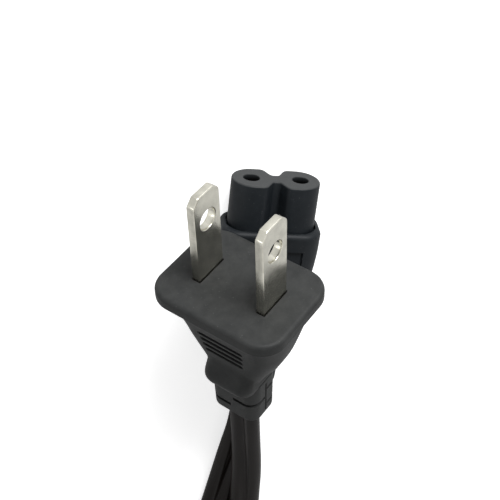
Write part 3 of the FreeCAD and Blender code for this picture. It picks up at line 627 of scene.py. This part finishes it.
# Painted shade: the pin holes' walls go near black with depth, close round each pin's axis.
from_pin = np.hypot(np.abs(nose_own[:, 0]) - PIN_PITCH / 2, nose_own[:, 1])
painted_bore_shade = ramp(-nose_own[:, 2], BORE_PAINTED_SHADE_FROM, BORE_PAINTED_SHADE_FULL)
painted_bore_shade = painted_bore_shade * (from_pin < PIN_HOLE_R + BORE_PAINTED_SHADE_REACH)
# Painted light: the nose's face and its rounded edge are painted lighter than its sides.
painted_face_light = ramp(nose_own[:, 2], FACE_PAINTED_LIGHT_FROM, FACE_PAINTED_LIGHT_FULL)
for mask, share, colour in (("face", painted_face_light, (0.040, 0.042, 0.043)),
                            ("bore", painted_bore_shade, (0.001, 0.001, 0.001))):
    nose.data.attributes.new(mask, "FLOAT", "POINT").data.foreach_set("value", share)
    paint_light_or_shade_where(insert_plastic, mask, colour)
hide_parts("connector_insert")

# Connector grip
# Soft black PVC moulded over the insert's foot and the cord: a rounded grip with a shallow thumb
# panel and finger grooves on both broad sides, narrowing to a slotted strain relief.
SHOULDER, SHOULDER_EDGE = 8.5, 0.9
NOSE_GAP, NOSE_GAP_DEPTH, NOSE_LAP = 0.35, 0.9, 0.05
GAP_RIM_START, GAP_RIM = 0.03, 0.09
GRIP_DEPTH = (SHOULDER, 13.0, 17.0, 21.5, 25.0, 28.0, 29.5)
GRIP_HALF_X = (8.9, 8.8, 8.4, 7.5, 6.3, 5.2, 4.6)
GRIP_HALF_Y = (4.95, 4.95, 4.9, 4.75, 4.45, 4.1, 3.8)
GRIP_CORNER = (3.4, 3.4, 3.4, 3.2, 2.9, 2.5, 2.3)
GRIP_TOP_SECTION, GRIP_COLUMNS, GRIP_ROW = (8.9, 4.95, 3.4), 320, 0.25
PANEL_HALF_X, PANEL_TOP, PANEL_END, PANEL_HALF_Y = 5.6, 11.8, 24.4, 4.5
PANEL_EDGE = 0.14
PANEL_GROOVE_FIRST = 16.6
CONN_SLOTS = (30.0, 32.1, 34.2, 36.3, 38.4)
CONN_RELIEF_TOP_AT, CONN_RELIEF_TOP, CONN_RELIEF_END = 26.0, (4.95, 4.0), (4.3, 3.5)
CONN_RELIEF_FROM, CONN_END = 29.0, 41.0
RELIEF_SHOWS_FROM, RELIEF_FILLET = 24, 0.4


def outline_radius(outline, angle):
    """Distance from the axis to an outline that each ray crosses once."""
    turn = np.arctan2(outline[:, 1], outline[:, 0]) % (2 * np.pi)
    order = np.argsort(turn)
    return np.interp(angle, turn[order], np.hypot(*outline[order].T), period=2 * np.pi)


def shoulder_rings(angle):
    """From the nose across the gap's floor, up its wall, over the shoulder and round its edge."""
    foot = outline_radius(nose_outline, angle)
    grown = nose_outline + nose_normals * NOSE_GAP
    gap = np.maximum(outline_radius(grown, angle), foot + 0.1)
    t = np.linspace(0, np.pi / 2, 8)
    inset = SHOULDER_EDGE * (1 - np.sin(t))
    edge = rounded_radius(angle, *(size - inset for size in GRIP_TOP_SECTION))
    middle = (gap + edge[0]) / 2
    radius = [foot - NOSE_LAP, gap, gap, gap + GAP_RIM_START, gap + GAP_RIM, middle, *edge]
    floor = SHOULDER + NOSE_GAP_DEPTH
    depth = [floor, floor, SHOULDER + GAP_RIM, SHOULDER + GAP_RIM_START, SHOULDER, SHOULDER]
    return np.concatenate([depth, SHOULDER + SHOULDER_EDGE * (1 - np.cos(t))]), radius


def grip_skin():
    """Shoulder, grip and strain relief as one skin, with the panels and grooves pushed in."""
    angle = even_angles(*GRIP_TOP_SECTION, GRIP_COLUMNS)
    shoulder_depth, shoulder = shoulder_rings(angle)
    edges = [PANEL_TOP, PANEL_END] + [PANEL_GROOVE_FIRST + i * GROOVE_PITCH
                                      + s * GROOVE_WIDTH / 2 for i in range(GROOVES)
                                      for s in (-1, 1)]
    depth = rows_with_edges(SHOULDER + SHOULDER_EDGE + 0.05, CONN_RELIEF_FROM - 0.1, GRIP_ROW,
                            edges, FINE_ROW)
    grip = rounded_radius(angle, *(smooth_curve(depth, GRIP_DEPTH, v)
                                   for v in (GRIP_HALF_X, GRIP_HALF_Y, GRIP_CORNER)))
    share = np.clip((depth - CONN_RELIEF_TOP_AT) / (CONN_END - CONN_RELIEF_TOP_AT), 0, 1)
    half_x, half_y = (top + (end - top) * share
                      for top, end in zip(CONN_RELIEF_TOP, CONN_RELIEF_END))
    inner = rounded_radius(angle, half_x, half_y, RELIEF_CORNER - RELIEF_CORNER_LOSS * share)
    grip = np.where((depth > RELIEF_SHOWS_FROM)[:, None], blended_max(grip, inner, RELIEF_FILLET),
                    grip)
    relief_depth, relief = relief_rings(angle, CONN_RELIEF_TOP, CONN_RELIEF_END,
                                        CONN_RELIEF_TOP_AT, CONN_RELIEF_FROM, CONN_END,
                                        CONN_SLOTS, 0)
    points, quads = ring_patch(np.concatenate([shoulder_depth, depth, relief_depth]),
                               np.concatenate([shoulder, grip, relief]), angle)
    x, y, depth = points[..., 0], points[..., 1], -points[..., 2]
    inside = ramp(PANEL_HALF_X - np.abs(x), 0, PANEL_EDGE)
    inside = inside * ramp(depth, PANEL_TOP, PANEL_TOP + PANEL_EDGE)
    inside = inside * (1 - ramp(depth, PANEL_END - PANEL_EDGE, PANEL_END))
    points[..., 1] = y - np.sign(y) * np.maximum(np.abs(y) - PANEL_HALF_Y, 0) * inside
    cut_grooves(points, lambda i: PANEL_HALF_Y, PANEL_GROOVE_FIRST, 0)
    return points, quads


connector_pvc = moulded_material("connector PVC", dark=(0.009, 0.011, 0.013),
                                 pale=(0.014, 0.016, 0.018), dusty=(0.08, 0.08, 0.08),
                                 roughness=(0.42, 0.56), grain=9000.0, waves=240.0, bump=0.00003)
grip = piece("connector_grip", [grip_skin()], connector_turn, CONNECTOR_AT, connector_pvc)
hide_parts("connector_overmould")

# Conductors and contacts inside the mouldings
# Stranded copper crimped into the blades' tails and into rolled brass contacts, two insulated
# leads at each end, and the rigid bridge that holds the blades while the plug is moulded.
def place_noise(tree, stretch, scale, detail):
    """Stretched noise in the frame's axes."""
    place = tree.nodes.new("ShaderNodeTexCoord").outputs["Object"]
    return stretched_noise(tree, place, stretch, scale, detail)


def drawn_metal(name, dull, bright, roughness, stretch, bump):
    """Bare metal with tarnish clouds and fine lines along the way it was drawn or rolled."""
    material, tree, shader = new_material(name)
    shader.inputs["Metallic"].default_value = 1.0
    tarnish = place_noise(tree, (1, 1, 1), 700.0, 4.0)
    lines = place_noise(tree, stretch, 9000.0, 2.0)
    tree.links.new(add_ramp(tree, tarnish, [(0.35, dull), (0.65, bright)]),
                   shader.inputs["Base Color"])
    tree.links.new(add_range(tree, tarnish, roughness[0], roughness[1]),
                   shader.inputs["Roughness"])
    tree.links.new(add_bump(tree, lines, bump), shader.inputs["Normal"])
    return material


copper = drawn_metal("copper strands", dull=(0.45, 0.20, 0.11), bright=(0.80, 0.43, 0.28),
                     roughness=(0.25, 0.45), stretch=(1, 0.05, 1), bump=0.00005)
brass = drawn_metal("rolled brass", dull=(0.52, 0.38, 0.17), bright=(0.78, 0.62, 0.34),
                    roughness=(0.22, 0.40), stretch=(1, 0.04, 1), bump=0.000008)
lead_pvc = moulded_material("lead insulation", dark=(0.018, 0.018, 0.018),
                            pale=(0.026, 0.026, 0.026), dusty=(0.07, 0.07, 0.07),
                            roughness=(0.30, 0.42), grain=8000.0, waves=400.0, bump=0.00001)
bridge_plastic = moulded_material("bridge plastic", dark=(0.022, 0.022, 0.022),
                                  pale=(0.034, 0.034, 0.033), dusty=(0.09, 0.09, 0.09),
                                  roughness=(0.55, 0.70), grain=14000.0, waves=500.0,
                                  bump=0.00004)
for material, names in ((copper, ("plug_strands", "connector_strands")), (brass, ("contact",)),
                        (lead_pvc, ("plug_lead", "connector_lead"))):
    for name in names:
        for hand in ("left", "right"):
            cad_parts[name + "_" + hand].data.materials[0] = material
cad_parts["plug_bridge"].data.materials[0] = bridge_plastic

# Cord
# Flat twin cord of extruded black PVC, two round conductors side by side with a web between. It
# leaves the plug, drops to the floor, is folded on edge in a hank and comes back to the connector.
CORD_W, CORD_T, WEB_HALF = 6.2, 3.1, 0.95
EXIT_RUN = 10.5
PLUG_RUN = [(-6.9, 44.2, 7.2), (-7.6, 55.3, 5.2), (-8.8, 66.5, 3.2), (-13.2, 77.1, 1.55),
            (-20.4, 86.1, 1.55), (-25.7, 96.3, 1.55), (-27.75, 107.6, 1.55),
            (-27.75, 114.0, 1.55)]
CONN_RUN = [(-4.3, 43.4, 3.2), (-3.1, 53.8, 1.55), (-1.4, 64.2, 1.55), (3.2, 74.7, 1.55),
            (10.6, 83.5, 1.55), (18.4, 91.9, 1.55), (23.5, 102.2, 1.55), (25.4, 113.5, 1.55),
            (25.4, 119.7, 1.55)]
HANK_AT = (-2.75, 153.25)
HANK_STRAIGHT = 32.5
HANK_TURNS = 7.5
LOW, MIDDLE, HIGH = 3.35, 9.55, 15.75
HANK_LAY = [(0, 25.0, LOW), (2.0, 18.7, LOW), (2.3, 18.7, MIDDLE), (3.0, 18.7, MIDDLE),
            (3.3, 18.7, HIGH), (4.0, 18.7, HIGH), (4.3, 21.85, HIGH), (5.0, 21.85, HIGH),
            (5.3, 21.85, MIDDLE), (6.0, 21.85, MIDDLE), (6.3, 25.0, MIDDLE), (7.0, 25.0, MIDDLE),
            (7.25, 28.15, LOW), (HANK_TURNS, 28.15, LOW)]
POINTS_PER_TURN = 16
ROLL_KEPT, ROLL_GONE = 4.0, 50.0
TWIST_BEFORE, TWIST_INSIDE = 20, 6
WEB_GROOVE = 0.06
STEPS_PER_POINT, LOBE_POINTS = 8, 15

plug_exit = plug_turn @ np.array([0, 0, -PLUG_END]) + np.array(PLUG_AT)
plug_heading = plug_turn @ np.array([0, 0, -1.0])
conn_exit = connector_turn @ np.array([0, 0, -CONN_END]) + np.array(CONNECTOR_AT)
conn_heading = connector_turn @ np.array([0, 0, -1.0])


def hank_points():
    """Control points of the hank, clockwise from the middle of its -X side: each turn has two
    half-round ends, set apart by the straight, and the points on a turn lie outside its round
    by as much as brings the spline onto it. The lay gives each turn's radius and height."""
    step = 1 / POINTS_PER_TURN
    turns = np.arange(step / 2, HANK_TURNS, step)
    turns = np.sort(np.concatenate([turns, np.arange(0, HANK_TURNS + 0.1, 0.5)]))
    at, radius, height = np.array(HANK_LAY).T
    angle = math.pi - 2 * math.pi * turns
    bent = np.abs(np.sin(angle)) > 1e-6
    out = np.interp(turns, at, radius) / np.where(bent, math.cos(math.pi * step), 1)
    x = HANK_AT[0] + out * np.cos(angle)
    y = HANK_AT[1] + np.where(bent, out * np.sin(angle) + np.sign(np.sin(angle))
                              * HANK_STRAIGHT / 2, 0)
    return np.stack([x, y, np.interp(turns, at, height)], axis=1)


def route_points():
    """The cord's control points from the plug's exit to the connector's exit."""
    start = [plug_exit, plug_exit + plug_heading * EXIT_RUN]
    end = [conn_exit, conn_exit + conn_heading * EXIT_RUN]
    near = HANK_AT[1] - HANK_STRAIGHT / 2
    lead_in, lead_out = (PLUG_RUN[-1][0], near, LOW), (CONN_RUN[-1][0], near, LOW)
    return np.array([*start, *PLUG_RUN, lead_in, *hank_points(), lead_out, *CONN_RUN[::-1],
                     *end[::-1]])


def spline_line(points):
    """Points along the quadratic spline of the control points, in millimetres."""
    data = bpy.data.curves.new("cord route", "CURVE")
    data.dimensions = "3D"
    data.resolution_u = STEPS_PER_POINT
    spline = data.splines.new("NURBS")
    spline.points.add(len(points) - 1)
    spline.points.foreach_set("co", np.column_stack([points * MM, np.ones(len(points))]).ravel())
    spline.order_u = 3
    spline.use_endpoint_u = True
    route = bpy.data.objects.new("cord route", data)
    bpy.context.scene.collection.objects.link(route)
    bpy.context.view_layer.update()
    mesh = bpy.data.meshes.new_from_object(route)
    line = np.empty(len(mesh.vertices) * 3)
    mesh.vertices.foreach_get("co", line)
    bpy.data.objects.remove(route)
    bpy.data.meshes.remove(mesh)
    return line.reshape(-1, 3) / MM


def cord_section():
    """Section across the cord as (along its width, along its thickness): an arc of each lobe
    from the web round to the web, with one point in the middle of each side of the web."""
    r = CORD_T / 2
    reach = math.pi - math.asin(WEB_HALF / r)
    turn = np.linspace(-reach, reach, LOBE_POINTS)
    right = np.stack([r + r * np.cos(turn), r * np.sin(turn)], axis=1)
    web = WEB_HALF - WEB_GROOVE
    return np.concatenate([right, [[0, web]], -right, [[0, -web]]])


def section_roll(line, along, level):
    """How far the width leans from level: the plug's own roll at its exit, none on the floor,
    a quarter turn while folded on edge, then on to a half turn, which is level again."""
    ahead = line[1] - line[0]
    up = np.cross(ahead / np.linalg.norm(ahead), level[0])
    width = plug_turn @ np.array([1.0, 0, 0])
    lean = math.atan((width @ up) / (width @ level[0]))
    folded = np.flatnonzero(line[:, 1] > HANK_AT[1] - HANK_STRAIGHT / 2)
    first, last = along[folded[0]], along[folded[-1]]
    on_edge = ramp(along, first - TWIST_BEFORE, first + TWIST_INSIDE)
    level_again = ramp(along, last - TWIST_INSIDE, last + TWIST_BEFORE)
    lean = lean * (1 - ramp(along, ROLL_KEPT, ROLL_GONE))
    return lean + math.pi / 2 * (on_edge + level_again)


def cord_skin(line):
    """Rings of the section at each point of the line, level across and then rolled."""
    ahead = np.gradient(line, axis=0)
    ahead /= np.linalg.norm(ahead, axis=1)[:, None]
    along = np.concatenate([[0], np.cumsum(np.linalg.norm(np.diff(line, axis=0), axis=1))])
    level = np.cross([0, 0, 1.0], ahead)
    level /= np.linalg.norm(level, axis=1)[:, None]
    up = np.cross(ahead, level)
    roll = section_roll(line, along, level)[:, None]
    width = np.cos(roll) * level + np.sin(roll) * up
    thick = np.cross(ahead, width)
    section = cord_section()
    rings = (line[:, None] + section[:, :1] * width[:, None] + section[:, 1:] * thick[:, None])
    own = np.broadcast_to(along[:, None, None], rings.shape[:2] + (1,))
    own = np.concatenate([np.broadcast_to(section, rings.shape[:2] + (2,)), own], axis=2)
    return rings, own, ring_quads(*rings.shape[:2])[:, ::-1]


def cord_material():
    """Extruded PVC: nearly black and a little brown, semi-gloss, with faint lines drawn along
    it by the die, a slow change of sheen and a few specks of dust."""
    material, tree, shader = new_material("cord PVC")
    lines = own_noise(tree, (1, 1, 0.01), 4200.0, 3.0)
    sheen = own_noise(tree, (1, 1, 0.3), 260.0, 3.0)
    surface = tree.nodes.new("ShaderNodeGroup")
    surface.node_tree = MOULDED
    shade = add_ramp(tree, sheen, [(0.35, (0.006, 0.0046, 0.004)), (0.65, (0.011, 0.0088, 0.0078))])
    tree.links.new(mix_colour(tree, surface.outputs["Dust"], shade, (0.07, 0.066, 0.062)),
                   shader.inputs["Base Color"])
    tree.links.new(add_range(tree, sheen, 0.24, 0.36), shader.inputs["Roughness"])
    tree.links.new(add_bump(tree, lines, 0.00002), shader.inputs["Normal"])
    shader.inputs["Specular IOR Level"].default_value = 0.08
    return material


cord_line = spline_line(route_points())
cord_points, cord_own, cord_quads = cord_skin(cord_line)
cord = piece("twin_cord", [(cord_points, cord_quads)], np.eye(3), (0, 0, 0), cord_material())
cord.data.attributes["own_place"].data.foreach_set("vector", cord_own.ravel() * MM)
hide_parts("cord_plug_run", "cord_connector_run", "cord_hank")

# Hank tie
# Flat strap of hook-and-loop tape, 9 mm wide, closed round the middle of the hank with its free
# end lapped over on top: a felt-like outside between woven edges.
STRAP_W, STRAP_T = 9.0, 0.45
STRAP_PATH = [(-26.65, 0.24), (29.75, 0.24), (29.75, 6.6), (26.7, 12.75), (23.5, 18.95),
              (-23.5, 18.95), (-26.65, 12.75)]
STRAP_BENDS, STRAP_STEP = (0.7, 0.7, 1.4, 3.0, 1.4, 1.4, 3.0), 0.35
STRAP_EDGE = [(0.1, 0.04), (0, 0.27), (0, 0.67), (0.12, 0.93), (0.5, 1.0)]
LAP_FROM, LAP_TO = -21.5, 6.0
LAP_ROUNDS, LAP_STEP, LAP_EDGE = (0.3, 0.3, 2.6, 2.6), 0.4, 0.15
CLEAR = 0.01


def strap_band():
    """Closed band that follows the strap's path round both sides of the hank. Each end of its
    section is given by points of (inset from the edge, share of the thickness)."""
    path, out = rounded_outline(STRAP_PATH, STRAP_BENDS, STRAP_STEP)
    inset, share = np.array(STRAP_EDGE).T
    across = np.concatenate([inset - STRAP_W / 2, (STRAP_W / 2 - inset)[::-1]])
    rise = np.concatenate([share, share[::-1]])[:, None] * STRAP_T
    place = path[:, None] + out[:, None] * rise
    x = HANK_AT[0] + place[..., 0]
    z = np.maximum(place[..., 1], CLEAR)
    points = np.stack([x, HANK_AT[1] + across + 0 * x, z], axis=2)
    points = np.concatenate([points, points[:1]])
    return points, ring_quads(*points.shape[:2])[:, ::-1]


def strap_lap():
    """The free end lapped over the top, its corners cut round."""
    w, reach = STRAP_W / 2, (LAP_TO - LAP_FROM) / 2
    corners = [(-w, -reach), (w, -reach), (w, reach), (-w, reach)]
    outline, normals = rounded_outline(corners, LAP_ROUNDS, LAP_STEP)
    half = flat_half(outline, normals, [], STRAP_T / 2, np.full(len(outline), LAP_EDGE), 0)
    middle = np.array([HANK_AT[0] + (LAP_FROM + LAP_TO) / 2, HANK_AT[1],
                       STRAP_PATH[4][1] + 1.5 * STRAP_T + CLEAR])
    return [(p, f[:, ::-1]) for p, f in both_halves(half, [1, 0, 2], middle)]


def strap_material():
    """Woven tape: a fine weave of two crossing waves under short loops, matt and nearly black."""
    material, tree, shader = new_material("strap tape")
    place = tree.nodes.new("ShaderNodeTexCoord").outputs["Object"]
    weave = []
    for direction in ("X", "Y"):
        wave = tree.nodes.new("ShaderNodeTexWave")
        wave.bands_direction = direction
        wave.inputs["Scale"].default_value = 420.0
        wave.inputs["Distortion"].default_value = 1.5
        tree.links.new(place, wave.inputs["Vector"])
        weave.append(wave.outputs["Fac"])
    loops = add_noise(tree, place, 5200.0, 4.0)
    height = add_math(tree, "ADD", add_math(tree, "MULTIPLY", weave[0], weave[1]), loops)
    tree.links.new(add_ramp(tree, loops, [(0.35, (0.012, 0.012, 0.013)),
                                          (0.7, (0.045, 0.045, 0.048))]),
                   shader.inputs["Base Color"])
    tree.links.new(add_range(tree, loops, 0.75, 0.95), shader.inputs["Roughness"])
    tree.links.new(add_bump(tree, height, 0.00008), shader.inputs["Normal"])
    shader.inputs["Sheen Weight"].default_value = 0.15
    return material


strap = piece("hank_strap", [strap_band()] + strap_lap(), np.eye(3), (0, 0, 0), strap_material())
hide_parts("hank_tie")

# Studio
# Pale floor, a soft key light from the front with weak ones beside and above, and the camera of
# the photograph, placed from the plug's face.
CAMERA_FROM_PLUG = (19.42, -77.06, 132.24)
CAMERA_AXES = ((-0.9897, 0.0457, 0.1355), (-0.1045, -0.8783, -0.4665), (0.0977, -0.4759, 0.8741))
WORLD_LIGHT, WORLD_SEEN = 0.15, 1.0
FLOOR_ALBEDO, FLOOR_SEEN_GLOW = 0.93, 0.62
FLOOR_HALF, FLOOR_Z = 3, -0.0002

camera_data = bpy.data.cameras.new("camera")
camera_data.sensor_width = 36.0
camera_data.lens = 68.4
camera_data.clip_start = 0.01
camera = bpy.data.objects.new("camera", camera_data)
camera_place = (Vector(PLUG_AT) + Vector(CAMERA_FROM_PLUG)) * MM
camera.matrix_world = Matrix.Translation(camera_place) @ Matrix(CAMERA_AXES).to_4x4()
bpy.context.scene.collection.objects.link(camera)
bpy.context.scene.camera = camera


def area_light(name, place, aim, size, power):
    """Square soft light of a given size in metres, turned so that it shines from place to aim."""
    data = bpy.data.lights.new(name, "AREA")
    data.size = size
    data.energy = power
    light = bpy.data.objects.new(name, data)
    light.location = place
    light.rotation_euler = (Vector(aim) - Vector(place)).to_track_quat("-Z", "Y").to_euler()
    bpy.context.scene.collection.objects.link(light)


area_light("key", (-0.12, -0.62, 0.32), aim=(0, 0, 0.015), size=0.35, power=7.4)
area_light("side", (0.5, 0.15, 0.4), aim=(0, 0.02, 0.015), size=0.3, power=0.6)
area_light("top", (0.0, 0.15, 0.8), aim=(0, 0, 0), size=0.6, power=0.5)

world = bpy.data.worlds.new("studio")
world.use_nodes = True
bpy.context.scene.world = world
tree = world.node_tree
background = tree.nodes["Background"]
rays = tree.nodes.new("ShaderNodeLightPath").outputs
seen = add_math(tree, "MAXIMUM", rays["Is Camera Ray"], rays["Is Glossy Ray"])
seen = add_math(tree, "MAXIMUM", seen, rays["Is Transmission Ray"])
background.inputs["Color"].default_value = (1, 1, 1, 1)
tree.links.new(add_range(tree, seen, WORLD_LIGHT, WORLD_SEEN), background.inputs["Strength"])

floor_material, tree, floor_shader = new_material("floor")
floor_shader.inputs["Base Color"].default_value = (FLOOR_ALBEDO, FLOOR_ALBEDO, FLOOR_ALBEDO, 1)
floor_shader.inputs["Roughness"].default_value = 0.9
floor_shader.inputs["Emission Color"].default_value = (1, 1, 1, 1)
rays = tree.nodes.new("ShaderNodeLightPath").outputs
tree.links.new(add_range(tree, rays["Is Camera Ray"], 0.0, FLOOR_SEEN_GLOW),
               floor_shader.inputs["Emission Strength"])
floor_mesh = bpy.data.meshes.new("floor")
floor_corners = [(-FLOOR_HALF, -FLOOR_HALF), (FLOOR_HALF, -FLOOR_HALF), (FLOOR_HALF, FLOOR_HALF),
                 (-FLOOR_HALF, FLOOR_HALF)]
floor_mesh.from_pydata([(x, y, FLOOR_Z) for x, y in floor_corners], [], [(0, 1, 2, 3)])
floor_mesh.materials.append(floor_material)
floor = bpy.data.objects.new("floor", floor_mesh)
bpy.context.scene.collection.objects.link(floor)

bpy.context.scene.view_settings.view_transform = "Standard"
